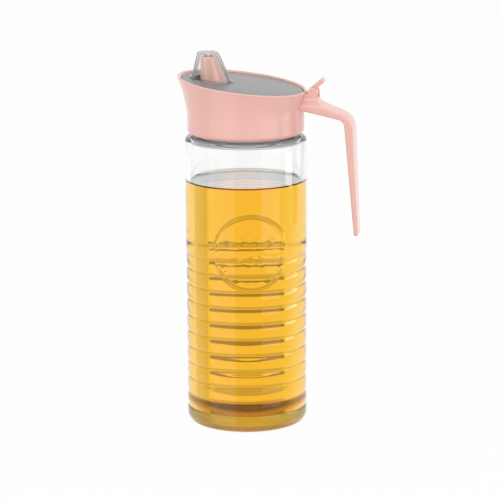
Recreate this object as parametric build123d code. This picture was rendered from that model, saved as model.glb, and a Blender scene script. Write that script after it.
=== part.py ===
from build123d import *
import os
from math import cos, radians, sin, tan

# Oil cruet: a ribbed glass bottle with a screw-on pouring closure.
# The closure has a flared collar with a side handle, a nozzle, and a hinged lid
# whose clear hood covers the nozzle. A thumb tab behind the hinge lifts the lid.
# Millimetres. The origin is the centre of the bottle's foot, +Z is up,
# +X points to the handle and -X to the pouring side.

# Glass bottle
bottle_radius = 43.0
bottle_height = 207.0
glass_wall = 3.6
floor_thickness = 7.0
push_up = 2.0
foot_corner = 7.0
standing_ring = 5.0
shoulder_corner = 3.5
shoulder_wall = 1.8
shoulder_inner_corner = 1.5
neck_wall = 3.5
neck_length = 15.5
neck_lip = 0.8

# Ribs round the glass
rib_count = 10
rib_pitch = 11.4
rib_start = 11.3
rib_depth = 0.75
rib_inset = 0.3

# Round medallion embossed on the glass
medallion_radius = 27.0
medallion_height = 130.3
medallion_angle = 15.0
medallion_relief = 0.2
medallion_ring_width = 2.0
medallion_ring_relief = 0.9

# Oil
oil_level = 176.3
oil_gap = 0.1

# Collar
collar_radius = 41.2
collar_wall = 2.4
collar_corner = 3.5
collar_lift = 1.5
flare_lift = 13.5
rim_rise = 21.9
rim_shift = -2.25
rim_tilt = 7.0
rim_flare = 5.0
rim_round = 0.9
flare_sections = 5
past_rim = 1.1
mid_flare = 0.5
low_flare = 0.4

# Inner cap with the thread skirt, the deck and the nozzle
skirt_wall = 2.0
skirt_lift = 4.0
thread_room = 1.7
seal_thickness = 1.5
seal_overhang = 0.3
deck_thickness = 2.5
deck_seat_width = 2.2
deck_seat_height = 2.0
fit_gap = 0.1
nozzle_x = -22.4
nozzle_radius = 9.5
nozzle_wall = 1.3
nozzle_tip_radius = 5.5
nozzle_tip_gap = 1.6
drain_radius = 1.5
drain_count = 3
drain_angle = 36.0
vent_radius = 1.6

# Lid plate and its clear hood
plate_thickness = 2.2
plate_recess = 1.0
plate_gap = 0.5
ledge_width = 1.8
ledge_height = 2.0
hood_x = -24.2
hood_lean = 2.6
hood_height = 19.5
hood_radius = 14.3
hood_top_radius = 7.3
hood_wall = 1.4
hood_round = 1.0
hood_flange_width = 1.2
hood_flange_height = 0.8
plug_radius = 2.6
plug_wall = 1.0
plug_depth = 1.2

# Hinge and lever
hinge_reach = 4.8
pin_radius = 1.25
pin_grip = 2.2
press_clearance = 0.02
running_clearance = 0.06
knuckle_radius = 3.3
knuckle_width = 6.4
knuckle_gap = 0.2
arm_width = 6.0
arm_gap = 0.4
tongue_length = 10.0
tongue_thickness = 1.6
tab_angle = 41.5
tab_length = 11.5
tab_neck = 4.6
tab_thickness = 3.4
tab_offset = 0.3
tab_tip_width = 10.0

# Handle
ear_radius = 3.6
head_width = 12.4
head_drop = 4.0
head_spread = 5.0
head_round = 3.0
handle_root_width = 22.0
handle_end_width = 14.0
handle_round = 1.2
saddle_drop = 7.2
arm_slope = 21.3
arm_under_drop = 11.4
arm_under_slope = 12.5
grip_reach = 28.5
grip_thickness = 5.8
grip_end_thickness = 2.9
grip_end_height = 138.0
grip_lean = 2.7
bend_radius = 13.0
bend_inner_radius = 5.5
saddle_radius = 6.0
seam_gap = 0.05

# Values worked out from the sizes above
skirt_outer = collar_radius - collar_wall - fit_gap
skirt_inner = skirt_outer - skirt_wall
neck_radius = skirt_inner - thread_room
neck_bore = neck_radius - neck_wall
neck_top = bottle_height + neck_length
deck_bottom = neck_top + seal_thickness
deck_top = deck_bottom + deck_thickness
collar_bottom = bottle_height + collar_lift
flare_start = bottle_height + flare_lift
rim_height = neck_top + rim_rise
rim_half_length = collar_radius + rim_flare
rim_rear_x = rim_shift + rim_half_length * cos(radians(rim_tilt))
hinge_x = rim_rear_x + hinge_reach


def rim_z(x, drop=0.0):
    """Height of the rim's slanted plane, or of one that lies drop below it, at x."""
    return rim_height - (x - rim_shift) * tan(radians(rim_tilt)) - drop / cos(radians(rim_tilt))


hinge_z = rim_z(rim_rear_x)
hood_base_z = rim_z(hood_x, plate_recess)
hood_top_x = hood_x - hood_lean
hood_top_z = hood_base_z + hood_height
nozzle_tip_z = hood_top_z - hood_wall - nozzle_tip_gap
nozzle_tip_x = nozzle_x - nozzle_radius + nozzle_tip_radius
ear_slot = knuckle_width + 2 * knuckle_gap


def side_face(points, radii):
    """Closed outline of (x, z) points with a corner radius at each, as a face in XZ."""
    outline = FilletPolyline(*points, radius=radii, close=True)
    return Plane.XZ * make_face(outline)


def ring(outer, inner, bottom, top):
    """Upright tube between two heights."""
    height = top - bottom
    middle = Pos(0, 0, bottom + height / 2)
    return middle * Cylinder(outer, height) - middle * Cylinder(inner, height)


def disc(radius, bottom, top, x=0.0):
    """Upright cylinder between two heights."""
    return Pos(x, 0, bottom + (top - bottom) / 2) * Cylinder(radius, top - bottom)


def tilted_plane(x, z, fall):
    """Plane through (x, z) that falls towards the handle by an angle."""
    turn = radians(fall)
    return Plane(origin=(x, 0, z), x_dir=(cos(turn), 0, -sin(turn)), z_dir=(sin(turn), 0, cos(turn)))


def rim_plane(drop=0.0, x=rim_shift):
    """Plane of the rim, or one that lies drop below it, centred over x."""
    return tilted_plane(x, rim_z(x, drop), rim_tilt)


def slab(drop_top, drop_bottom):
    """Everything between two planes that lie below the rim."""
    size = 4 * rim_half_length
    thickness = drop_bottom - drop_top
    return rim_plane((drop_top + drop_bottom) / 2) * Box(size, size, thickness)


def flare_section(share, inset):
    """Slanted circle of the collar at a share of the way from its straight part to its rim."""
    height = flare_start + (rim_height - flare_start) * share
    plane = tilted_plane(rim_shift * share**1.3, height, rim_tilt * share)
    return plane * Circle(collar_radius + rim_flare * share**1.8 - inset)


def flare(inset, start=0.0, end=1.0):
    """Solid inside the collar's flared wall, drawn in by inset."""
    step = (end - start) / (flare_sections - 1)
    return loft([flare_section(start + i * step, inset) for i in range(flare_sections)])


def glass_profile():
    """Half section of the bottle: foot, ribs, plain band, shoulder, neck and the inside."""
    crest = bottle_radius - rib_inset
    groove = crest - rib_depth
    rib_end = rib_start + rib_count * rib_pitch
    ring_outer = crest - foot_corner
    ring_inner = ring_outer - standing_ring
    inside = bottle_radius - glass_wall
    shoulder = bottle_height - shoulder_wall
    push_up_radius = (ring_inner**2 + push_up**2) / (2 * push_up)
    edges = [
        RadiusArc((0, push_up), (ring_inner, 0), push_up_radius),
        Line((ring_inner, 0), (ring_outer, 0)),
        RadiusArc((ring_outer, 0), (crest, foot_corner), -foot_corner),
        Line((crest, foot_corner), (crest, rib_start)),
        Line((crest, rib_start), (groove, rib_start)),
    ]
    for i in range(rib_count):
        low = rib_start + i * rib_pitch
        edges.append(
            ThreePointArc((groove, low), (crest, low + rib_pitch / 2), (groove, low + rib_pitch))
        )
    edges += [
        Line((groove, rib_end), (bottle_radius, rib_end + rib_depth)),
        Line((bottle_radius, rib_end + rib_depth), (bottle_radius, bottle_height - shoulder_corner)),
        RadiusArc(
            (bottle_radius, bottle_height - shoulder_corner),
            (bottle_radius - shoulder_corner, bottle_height),
            -shoulder_corner,
        ),
        Line((bottle_radius - shoulder_corner, bottle_height), (neck_radius, bottle_height)),
        Line((neck_radius, bottle_height), (neck_radius, neck_top - neck_lip)),
        Line((neck_radius, neck_top - neck_lip), (neck_radius - neck_lip, neck_top)),
        Line((neck_radius - neck_lip, neck_top), (neck_bore, neck_top)),
        Line((neck_bore, neck_top), (neck_bore, shoulder)),
        Line((neck_bore, shoulder), (inside - shoulder_inner_corner, shoulder)),
        RadiusArc(
            (inside - shoulder_inner_corner, shoulder),
            (inside, shoulder - shoulder_inner_corner),
            shoulder_inner_corner,
        ),
        Line((inside, shoulder - shoulder_inner_corner), (inside, floor_thickness + foot_corner)),
        RadiusArc((inside, floor_thickness + foot_corner), (inside - foot_corner, floor_thickness), foot_corner),
        Line((inside - foot_corner, floor_thickness), (0, floor_thickness)),
        Line((0, floor_thickness), (0, push_up)),
    ]
    return Plane.XZ * make_face(Wire(edges))


def medallion():
    """Round raised field with a ring edge, wrapped on the glass, facing forward."""
    face_radius = bottle_radius + medallion_relief
    ring_radius = bottle_radius + medallion_ring_relief
    low = medallion_height - medallion_radius - 1
    high = medallion_height + medallion_radius + 1
    root = bottle_radius - glass_wall / 2
    reach = bottle_radius / 2
    inner_radius = medallion_radius - medallion_ring_width
    facing = Pos(0, -bottle_radius, medallion_height) * Rot(90, 0, 0)
    field = ring(face_radius, root, low, high) & (facing * Cylinder(medallion_radius, 2 * reach))
    edge_tube = facing * (Cylinder(medallion_radius, 2 * reach) - Cylinder(inner_radius, 2 * reach))
    edge = ring(ring_radius, root, low, high) & edge_tube
    return Rot(0, 0, medallion_angle) * (field + edge)


def glass_bottle():
    return revolve(glass_profile(), Axis.Z) + medallion()


def oil_fill():
    """Oil up to its level, a hair inside the glass."""
    radius = bottle_radius - glass_wall - oil_gap
    body = disc(radius, floor_thickness + oil_gap, oil_level)
    return fillet(body.edges().sort_by(Axis.Z)[0], foot_corner)


def neck_seal():
    """Flat ring that is pressed between the neck's lip and the deck."""
    return ring(neck_radius + seal_overhang, neck_bore + seal_overhang, neck_top, deck_bottom)


def collar_shell():
    """Outside of the collar as a filled solid."""
    straight = disc(collar_radius, collar_bottom, flare_start)
    straight = fillet(straight.edges().sort_by(Axis.Z)[0], collar_corner)
    return straight + flare(0)


def lever_notch(gap):
    """Room for the lever's arm where it passes the rim, the ledge and the handle's root."""
    floor = rim_z(rim_rear_x, plate_recess + plate_thickness + tongue_thickness) - gap
    start = rim_rear_x - tongue_length
    width = arm_width + 2 * gap
    height = 2 * rim_rise
    return Pos((start + hinge_x) / 2, 0, floor + height / 2) * Box(hinge_x - start, width, height)


def collar():
    """Shell with a seat for the deck, a ledge for the lid plate and a notch for the lever."""
    seat_share = (deck_top + deck_seat_height - flare_start) / (rim_height - flare_start)
    seat_bore = collar_radius - collar_wall - deck_seat_width
    under = plate_recess + plate_thickness + seam_gap
    shell = collar_shell() - flare(collar_wall, seat_share, past_rim)
    shell -= disc(collar_radius - collar_wall, collar_bottom, deck_top)
    shell -= disc(seat_bore, deck_top, deck_top + 2 * deck_seat_height)
    rim_axis = Axis(rim_plane().origin, rim_plane().z_dir)
    shell = fillet(shell.edges().group_by(rim_axis)[-1], rim_round)
    ledge = flare(collar_wall / 2, mid_flare) & slab(under, under + ledge_height)
    ledge -= flare(collar_wall + ledge_width, low_flare, past_rim)
    return shell + ledge - lever_notch(arm_gap)


def nozzle(base_radius, tip_radius, bottom, top):
    """Upright tube that narrows towards its tip, straight on the pouring side."""
    base = disc(base_radius, bottom, hood_base_z, nozzle_x)
    low = Pos(nozzle_x, 0, hood_base_z) * Circle(base_radius)
    high = Pos(nozzle_tip_x, 0, top) * Circle(tip_radius)
    return base + loft([low, high], ruled=True)


def inner_cap():
    """Threaded skirt, deck and nozzle in one moulding."""
    body = ring(skirt_outer, skirt_inner, bottle_height + skirt_lift, deck_bottom)
    body += disc(skirt_outer, deck_bottom, deck_top)
    body += nozzle(nozzle_radius, nozzle_tip_radius, deck_bottom, nozzle_tip_z)
    body -= nozzle(nozzle_radius - nozzle_wall, nozzle_tip_radius - nozzle_wall, deck_bottom, nozzle_tip_z)
    drain_reach = nozzle_radius + 2 * drain_radius
    for i in range(drain_count):
        turn = (i - (drain_count - 1) / 2) * drain_angle
        hole = Rot(0, 0, turn) * Pos(drain_reach, 0, 0) * disc(drain_radius, deck_bottom, deck_top)
        body -= Pos(nozzle_x, 0, 0) * hole
    return body - disc(vent_radius, deck_bottom, deck_top, -hood_x)


def lid_plate():
    """Flat plate set into the rim, with the hole that takes the hood's foot."""
    plate = flare(collar_wall + plate_gap, mid_flare, past_rim) & slab(plate_recess, plate_recess + plate_thickness)
    hole = rim_plane(plate_recess, hood_x) * Cylinder(hood_radius + fit_gap, 4 * plate_thickness)
    return plate - hole


def spout_hood():
    """Clear leaning cone over the nozzle, with a flange on the plate and a plug in its top."""
    base_plane = rim_plane(plate_recess, hood_x)
    inner = hood_radius - hood_wall
    inner_top = hood_top_radius - hood_wall
    ceiling = hood_top_z - hood_wall
    foot = base_plane * Pos(0, 0, -plate_thickness / 2) * Cylinder(hood_radius, plate_thickness)
    flange_radius = hood_radius + hood_flange_width
    flange = base_plane * Pos(0, 0, hood_flange_height / 2) * Cylinder(flange_radius, hood_flange_height)
    top = Pos(hood_top_x, 0, hood_top_z) * Circle(hood_top_radius)
    cone = loft([base_plane * Circle(hood_radius), top], ruled=True)
    cone = fillet(cone.edges().sort_by(Axis.Z)[-1], hood_round)
    shell = cone + foot + flange
    shell -= base_plane * Cylinder(inner, 3 * plate_thickness)
    shell -= loft([base_plane * Circle(inner), Pos(hood_top_x, 0, ceiling) * Circle(inner_top)], ruled=True)
    return shell + Pos(hood_top_x, 0, 0) * ring(plug_radius, plug_radius - plug_wall, ceiling - plug_depth, ceiling)


def hinge_barrel(radius, low, high):
    """Cylinder on the hinge axis between two places along Y."""
    return Pos(hinge_x, (low + high) / 2, hinge_z) * Rot(90, 0, 0) * Cylinder(radius, high - low)


def hinge_pin():
    """Pin pushed in from the far side, blind at the near side."""
    return hinge_barrel(pin_radius, -ear_slot / 2 - pin_grip, ear_slot / 2 + pin_grip)


def lever():
    """Knuckle, arm to the lid plate, tongue under the plate and thumb tab."""
    plate_under = plate_recess + plate_thickness
    rear = rim_rear_x - collar_wall - plate_gap
    start = rear - tongue_length
    arm = side_face(
        [
            (start, rim_z(start, plate_under)),
            (rear, rim_z(rear, plate_under)),
            (rear + seam_gap, rim_z(rear, plate_recess)),
            (rim_rear_x, rim_z(rim_rear_x) + seam_gap),
            (hinge_x - knuckle_radius / 2, hinge_z + knuckle_radius / 2),
            (hinge_x, hinge_z),
            (hinge_x, hinge_z - knuckle_radius),
            (start, rim_z(start, plate_under + tongue_thickness)),
        ],
        [0, 0, 0, 0, 0, 0, 0, 0],
    )
    body = extrude(arm, arm_width / 2, both=True)
    body += hinge_barrel(knuckle_radius, -knuckle_width / 2, knuckle_width / 2)
    tilted = tilted_plane(hinge_x, hinge_z, -tab_angle)
    outline = Polyline(
        (0, -knuckle_width / 2),
        (tab_neck, -knuckle_width / 2),
        (tab_length, -tab_tip_width / 2),
        (tab_length, tab_tip_width / 2),
        (tab_neck, knuckle_width / 2),
        (0, knuckle_width / 2),
        close=True,
    )
    tab = tilted * Pos(0, 0, tab_offset) * extrude(make_face(outline), tab_thickness)
    tip_edges = tab.edges().group_by(Axis(tilted.origin, tilted.x_dir))[-1]
    tab = fillet(tip_edges, tab_thickness / 3)
    body += tab
    return body - hinge_barrel(pin_radius + running_clearance, -knuckle_width, knuckle_width)


def handle_front(top_z):
    """Outline of the handle from the front: a slim head, the wide root and the slimmer grip."""
    head_low = hinge_z - head_drop
    half = [
        (head_width / 2, top_z),
        (head_width / 2, head_low),
        (handle_root_width / 2, head_low - head_spread),
        (handle_end_width / 2, grip_end_height),
    ]
    points = half + [(-y, z) for y, z in reversed(half)]
    radii = [0, head_round, head_round, 0]
    return FilletPolyline(*points, radius=radii + radii[::-1], close=True)


def handle_blank():
    """Side outline of the root, arm, bend and grip, narrowed towards the lower end."""
    top_z = hinge_z + ear_radius
    ear_front = hinge_x - ear_radius
    ear_rear = hinge_x + ear_radius
    corner_x = hinge_x + grip_reach
    saddle_z = hinge_z - saddle_drop
    corner_z = saddle_z - tan(radians(arm_slope)) * (corner_x - ear_rear)
    end_outer = corner_x + tan(radians(grip_lean)) * (corner_z - grip_end_height)
    under_x = corner_x - grip_thickness
    under_z = saddle_z - arm_under_drop
    inside_x = collar_radius - collar_wall
    root_under = under_z + tan(radians(arm_under_slope)) * (under_x - inside_x)
    brow = rim_z(rim_rear_x) - rim_round
    outline = side_face(
        [
            (inside_x, root_under),
            (under_x, under_z),
            (end_outer - grip_end_thickness, grip_end_height),
            (end_outer, grip_end_height),
            (corner_x, corner_z),
            (ear_rear, saddle_z),
            (ear_rear, top_z),
            (ear_front, top_z),
            (ear_front, brow),
            (inside_x, brow),
        ],
        [
            0,
            bend_inner_radius,
            grip_end_thickness / 3,
            grip_end_thickness / 3,
            bend_radius,
            saddle_radius,
            ear_radius * 0.98,
            ear_radius * 0.98,
            0,
            0,
        ],
    )
    blank = extrude(outline, handle_root_width, both=True)
    return blank & extrude(Plane.YZ * make_face(handle_front(top_z)), 2 * corner_x)


def lever_slot(side, floor):
    """Room between the ears above a floor, in front of the hinge (-1) or behind it (1)."""
    reach = 2 * ear_radius
    height = 2 * knuckle_radius + 2 * ear_radius
    return Pos(hinge_x + side * reach / 2, 0, floor + height / 2) * Box(reach, ear_slot, height)


def handle():
    """Handle with two ears for the hinge, seated on the collar's outside."""
    body = handle_blank()
    sides = body.faces().filter_by(Plane.XZ)
    body = fillet([e for f in sides for e in f.edges()], handle_round)
    body -= lever_slot(-1, rim_z(rim_rear_x, plate_recess + plate_thickness + tongue_thickness) - arm_gap)
    body -= lever_slot(1, hinge_z - knuckle_radius - arm_gap)
    body -= hinge_barrel(pin_radius + press_clearance, -ear_slot / 2 - pin_grip, handle_root_width)
    body -= disc(collar_radius + seam_gap, collar_bottom, flare_start)
    return body - flare(-seam_gap, end=past_rim)


parts = {
    "glass_bottle": glass_bottle,
    "oil_fill": oil_fill,
    "neck_seal": neck_seal,
    "collar": collar,
    "inner_cap": inner_cap,
    "handle": handle,
    "hinge_pin": hinge_pin,
    "lid_plate": lid_plate,
    "spout_hood": spout_hood,
    "lever": lever,
}

os.makedirs("parts", exist_ok=True)
for name, make in parts.items():
    export_step(make(), f"parts/{name}.step")
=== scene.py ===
"""Looks of the oil cruet: ribbed glass bottle, oil, and a pouring closure with handle and hood."""

import math

import bmesh
import bpy
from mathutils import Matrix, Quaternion, Vector


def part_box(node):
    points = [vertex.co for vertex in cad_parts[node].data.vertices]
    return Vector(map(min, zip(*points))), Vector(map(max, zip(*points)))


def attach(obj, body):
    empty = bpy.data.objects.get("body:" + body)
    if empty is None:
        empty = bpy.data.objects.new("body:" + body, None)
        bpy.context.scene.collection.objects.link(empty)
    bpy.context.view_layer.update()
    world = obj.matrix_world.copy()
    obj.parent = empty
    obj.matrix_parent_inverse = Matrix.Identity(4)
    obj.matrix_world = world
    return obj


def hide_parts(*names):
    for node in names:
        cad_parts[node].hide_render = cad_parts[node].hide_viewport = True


bl_info = {
    "name": "Oil Cruet",
    "version": (1, 0, 0),
    "blender": (4, 5, 0),
    "location": "View3D > Sidebar > Cruet",
    "description": "Builds the visible pieces of an oil cruet round its packed CAD frame",
    "category": "Add Mesh",
}

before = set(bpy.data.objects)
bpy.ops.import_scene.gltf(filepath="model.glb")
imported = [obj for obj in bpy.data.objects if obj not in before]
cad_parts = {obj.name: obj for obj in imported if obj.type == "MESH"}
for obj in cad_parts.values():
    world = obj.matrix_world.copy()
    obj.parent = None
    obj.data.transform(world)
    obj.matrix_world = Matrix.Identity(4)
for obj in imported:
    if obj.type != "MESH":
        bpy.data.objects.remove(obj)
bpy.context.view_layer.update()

MM = 0.001
TAU = 2 * math.pi
COLUMNS = 144
FRONT = -math.pi / 2

SEAL_LOW, SEAL_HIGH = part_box("neck_seal")
OIL_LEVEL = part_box("oil_fill")[1].z
OIL_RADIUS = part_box("oil_fill")[1].x
GLASS_INDEX = 1.5
OIL_INDEX = 1.47
PLASTIC_INDEX = 1.49
CLEAR = (1.0, 1.0, 1.0)
CLEAR_THROUGH = {"Base Color": CLEAR, "Roughness": 0.0, "Transmission Weight": 1.0}

# Heights between which the glass loses its frost and its foot's painted oil light, and takes its shoulder's
# painted shade
FROST_FADE = (3.0 * MM, 3.8 * MM)
FOOT_PAINTED_LIGHT_FADE = (3.5 * MM, 6.8 * MM)
SHOULDER_PAINTED_SHADE_START = (203.2 * MM, 205.2 * MM)
FROST = 0.42

# Gap that keeps the oil's skin off the glass, and the room left round the medallion
SKIN = 0.1 * MM
MEDALLION_MARGIN = 1.2 * MM

# Relief of the medallion, in millimetres: distances in from its edge, half widths and heights
FIELD_RISE = 0.2
RING_INSET, RING_HALF, RING_RISE, LOW_RING_RISE = 1.0, 1.15, 0.46, 0.3
BEAD_INSET, BEAD_RADIUS, BEAD_RISE = 4.4, 1.15, 0.2
SPRIG_EDGE, SPRIG_FULL, SPRIG_RISE = 5.2, 6.4, 0.14

# Dark strips of the world behind the glass: the heights of the line of sight where each begins, is
# full, begins to fade and ends, and how dark it is
TABLE_EDGE = (-0.272, -0.260, -0.230, -0.219, 0.62)
HORIZON = (-0.12, -0.08, 0.13, 0.17, 0.5)


# Settings


def length(name, millimetres, description):
    """A size shown in the panel, with its default given in millimetres."""
    kind = {"min": 0.0, "precision": 5, "subtype": "DISTANCE", "unit": "LENGTH"}
    return bpy.props.FloatProperty(name=name, description=description, default=millimetres * MM, **kind)


def angle(name, degrees, description):
    """An angle shown in the panel, with its default given in degrees."""
    return bpy.props.FloatProperty(
        name=name, description=description, default=math.radians(degrees), subtype="ANGLE", unit="ROTATION"
    )


def colour(name, value, description):
    """A colour shown in the panel."""
    return bpy.props.FloatVectorProperty(
        name=name, description=description, default=value, min=0.0, max=1.0, size=3, subtype="COLOR"
    )


def factor(name, value, description, most=1.0):
    """A plain number shown in the panel."""
    return bpy.props.FloatProperty(name=name, description=description, default=value, min=0.0, max=most)


class CruetGlassSettings(bpy.types.PropertyGroup):
    """Sizes of the glass bottle and of the oil in it."""

    radius: length("Radius", 43.0, "Outside radius of the plain band")
    crest: length("Rib Crest", 42.7, "Outside radius over the ribs")
    height: length("Shoulder Height", 207.0, "Height of the flat shoulder")
    wall: length("Wall", 3.6, "Thickness of the glass")
    floor: length("Floor", 4.0, "Height of the inside floor")
    push_up: length("Push-Up", 2.0, "Rise of the middle of the base")
    foot: length("Foot Corner", 7.0, "Radius of the rounded foot")
    inner_foot: length("Inner Foot Corner", 5.0, "Radius of the inside above the foot")
    shoulder: length("Shoulder Corner", 3.5, "Radius of the rounded shoulder")
    shoulder_wall: length("Shoulder Wall", 1.8, "Thickness of the flat shoulder")
    inner_corner: length("Inner Corner", 1.5, "Radius inside the shoulder")
    neck: length("Neck Radius", 35.0, "Outside radius of the neck")
    bore: length("Neck Bore", 31.5, "Inside radius of the neck")
    neck_top: length("Neck Top", 222.5, "Height of the neck's lip")
    rib_count: bpy.props.IntProperty(name="Ribs", description="Number of ribs", default=10, min=1, max=20)
    rib_pitch: length("Rib Pitch", 11.4, "Height of one rib")
    rib_start: length("Rib Start", 11.3, "Height where the ribs begin")
    rib_depth: length("Rib Depth", 0.75, "Depth of the grooves between the ribs")
    thread_pitch: length("Thread Pitch", 6.0, "Rise of the thread in one turn")
    thread_height: length("Thread Height", 0.7, "Height of the thread's ridge")
    medallion: length("Medallion Radius", 27.0, "Radius of the embossed medallion")
    medallion_z: length("Medallion Height", 130.3, "Height of the medallion's centre")
    medallion_turn: angle("Medallion Turn", 15.0, "Turn of the medallion from the front towards the handle")
    meniscus: length("Meniscus", 1.6, "Rise of the oil against the glass")


class CruetClosureSettings(bpy.types.PropertyGroup):
    """Sizes of the collar, cap, lid plate and hood."""

    radius: length("Collar Radius", 41.2, "Outside radius of the collar's straight part")
    wall: length("Wall", 2.4, "Thickness of the collar")
    corner: length("Corner", 3.5, "Radius of the collar's lower edge")
    bottom: length("Collar Bottom", 208.5, "Height of the collar's lower edge")
    flare_start: length("Flare Start", 220.5, "Height where the collar begins to flare")
    rim_height: length("Rim Height", 244.4, "Height of the rim's centre")
    rim_shift: length("Rim Shift", 2.25, "How far the rim's centre lies towards the pouring side")
    rim_flare: length("Rim Flare", 5.0, "How much wider the rim is than the straight part")
    rim_tilt: angle("Rim Tilt", 7.0, "Fall of the rim towards the handle")
    deck_bottom: length("Deck Bottom", 224.0, "Height of the inner cap's deck")
    deck_top: length("Deck Top", 226.5, "Height of the deck's upper face")
    seat: length("Seat Width", 2.2, "Width of the seat that holds the deck down")
    recess: length("Plate Recess", 1.0, "Depth of the lid plate under the rim")
    plate: length("Plate Thickness", 2.2, "Thickness of the lid plate")
    plate_gap: length("Plate Gap", 0.5, "Gap between the plate and the collar")
    ledge: length("Ledge Width", 1.8, "Width of the ledge under the plate")
    hood_x: length("Hood Place", 24.2, "Distance of the hood's foot from the axis")
    hood_lean: length("Hood Lean", 2.6, "How far the hood's top leans outwards")
    hood_radius: length("Hood Radius", 14.3, "Outside radius of the hood's foot")
    hood_top: length("Hood Top Radius", 7.3, "Outside radius of the hood's top")
    hood_height: length("Hood Height", 265.59, "Height of the hood's top")
    hood_wall: length("Hood Wall", 1.4, "Thickness of the hood")
    nozzle_x: length("Nozzle Place", 22.4, "Distance of the nozzle's foot from the axis")
    nozzle: length("Nozzle Radius", 9.5, "Outside radius of the nozzle's foot")
    nozzle_tip: length("Nozzle Tip Radius", 5.5, "Outside radius of the nozzle's tip")
    nozzle_wall: length("Nozzle Wall", 1.3, "Thickness of the nozzle")
    plug: length("Plug Radius", 2.6, "Outside radius of the small ring under the hood's top")
    arm: length("Arm Width", 6.0, "Width of the lever's arm")


class CruetFinishSettings(bpy.types.PropertyGroup):
    """Colours of the finishes."""

    pink: colour("Pink", (0.84, 0.475, 0.415), "Glossy plastic of the collar, handle, lever and nozzle")
    grey: colour("Grey", (0.24, 0.24, 0.24), "Smooth plastic of the lid plate")
    glass: colour("Glass", (0.985, 0.992, 0.988), "Tint of the moulded glass")
    # Painted light: the oil's orange light and shade painted into the foot's glass colour
    glass_foot_painted_oil_light: colour("Glass Foot", (0.62, 0.33, 0.10), "Tint of the foot, which gathers the oil's colour")
    # Painted shade: dark slate that stands in for the dark inner parts seen in the shoulder
    glass_shoulder_painted_shade: colour("Glass Shoulder", (0.43, 0.43, 0.46), "Tint of the shoulder")
    clear: colour("Clear Plastic", (0.98, 0.985, 0.98), "Tint of the hood")
    # Painted shade: dark grey that stands in for the hood walls' refraction at their edges
    clear_edge_painted_shade: colour("Clear Edge", (0.13, 0.135, 0.125), "Grey of the hood's edges")
    oil: colour("Oil", (0.9954, 0.828, 0.02), "Light that one part of the oil lets through")
    oil_density: factor("Oil Density", 50.0, "How fast the oil takes up light, per metre", 1000.0)
    rubber: colour("Seal", (0.8, 0.8, 0.76), "Soft seal under the deck")
    steel: colour("Steel", (0.62, 0.61, 0.6), "Hinge pin")


class CruetStageSettings(bpy.types.PropertyGroup):
    """Camera and light."""

    azimuth: angle("Azimuth", 10.5, "Turn of the camera from the front towards the handle")
    elevation: angle("Elevation", 12.6, "How far the camera looks down")
    roll: angle("Roll", 0.35, "Lean of the object in the picture")
    distance: length("Distance", 1920.5, "Distance of the camera from what it looks at")
    aim: length("Aim Height", 123.9, "Height of the point that the camera looks at")
    lens: factor("Lens", 194.4, "Focal length in millimetres on a 36 mm sensor", 1000.0)
    shift: factor("Shift", 0.0072, "Sideways shift of the picture")
    ambient: factor("Ambient", 0.62, "Plain light from all round", 4.0)


SETTINGS = {
    "cruet_glass": CruetGlassSettings,
    "cruet_closure": CruetClosureSettings,
    "cruet_finish": CruetFinishSettings,
    "cruet_stage": CruetStageSettings,
}


# Nodes


class Value:
    """A node's output that takes part in Python sums by adding Math nodes."""

    def __init__(self, graph, socket):
        self.graph = graph
        self.socket = socket

    def math(self, operation, *operands):
        node = self.graph.add("ShaderNodeMath", dict(enumerate(operands)), {"operation": operation})
        return Value(self.graph, node.outputs[0])

    def __add__(self, other):
        return self.math("ADD", self, other)

    def __sub__(self, other):
        return self.math("SUBTRACT", self, other)

    def __rsub__(self, other):
        return self.math("SUBTRACT", other, self)

    def __mul__(self, other):
        return self.math("MULTIPLY", self, other)

    def __truediv__(self, other):
        return self.math("DIVIDE", self, other)

    def between(self, low, high):
        """1 where the value lies between two bounds, else 0."""
        return self.math("GREATER_THAN", self, low) * self.math("LESS_THAN", self, high)

    def ease(self, low, high, start=0.0, end=1.0):
        """Moves smoothly from start to end as the value goes from low to high."""
        sockets = {"Value": self, "From Min": low, "From Max": high, "To Min": start, "To Max": end}
        node = self.graph.add("ShaderNodeMapRange", sockets, {"interpolation_type": "SMOOTHSTEP"})
        return Value(self.graph, node.outputs["Result"])


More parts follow.
